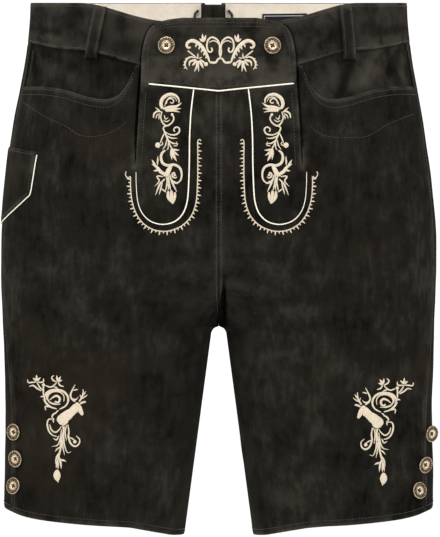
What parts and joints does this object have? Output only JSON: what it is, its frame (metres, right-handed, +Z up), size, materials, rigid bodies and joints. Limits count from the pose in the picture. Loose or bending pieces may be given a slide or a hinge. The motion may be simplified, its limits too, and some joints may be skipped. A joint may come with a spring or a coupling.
{
  "type": "leather shorts with a fall front, lederhosen",
  "caption": "Short suede lederhosen, filled out as worn: buttoned fall front, piped and embroidered panels, hem buttons, laced back, knife pocket at the side.",
  "frame": {"origin": "centre of the waist opening, level with the top edge of the waistband at the sides", "axes": "+Z up along the garment, +X to the wearer's left, -Y is the front of the garment"},
  "size_m": [0.4143, 0.2448, 0.5117],
  "materials": {
    "suede": "napped suede, very dark brown-black, matt",
    "lace": "smooth dark leather cord",
    "lining": "cream cotton twill, matt",
    "label": "plain dark woven label with a pale edge",
    "piping": "cream-white piping cord",
    "metal": "antiqued brass, raised rim, dark recesses"
  },
  "bodies": {
    "root": {"back_left": "suede", "back_right": "suede", "belt_loop_back_left": "suede", "belt_loop_back_right": "suede", "belt_loop_front_left": "suede", "belt_loop_front_right": "suede", "button_flap_left": "metal", "button_flap_right": "metal", "button_hem_left_1": "metal", "button_hem_left_2": "metal", "button_hem_left_3": "metal", "button_hem_right_1": "metal", "button_hem_right_2": "metal", "button_hem_right_3": "metal", "flap_band": "suede", "front_left": "suede", "front_right": "suede", "knife_pocket": "suede", "label": "label", "lace": "lace", "lace_knot": "lace", "lacing_gusset": "suede", "piping_bar": "piping", "piping_knife_pocket": "piping", "piping_u_left": "piping", "piping_u_right": "piping", "pocket_facing_left": "suede", "pocket_facing_right": "suede", "waist_lining_left": "lining", "waist_lining_right": "lining", "waistband_left": "suede", "waistband_right": "suede"}
  },
  "joints": []
}
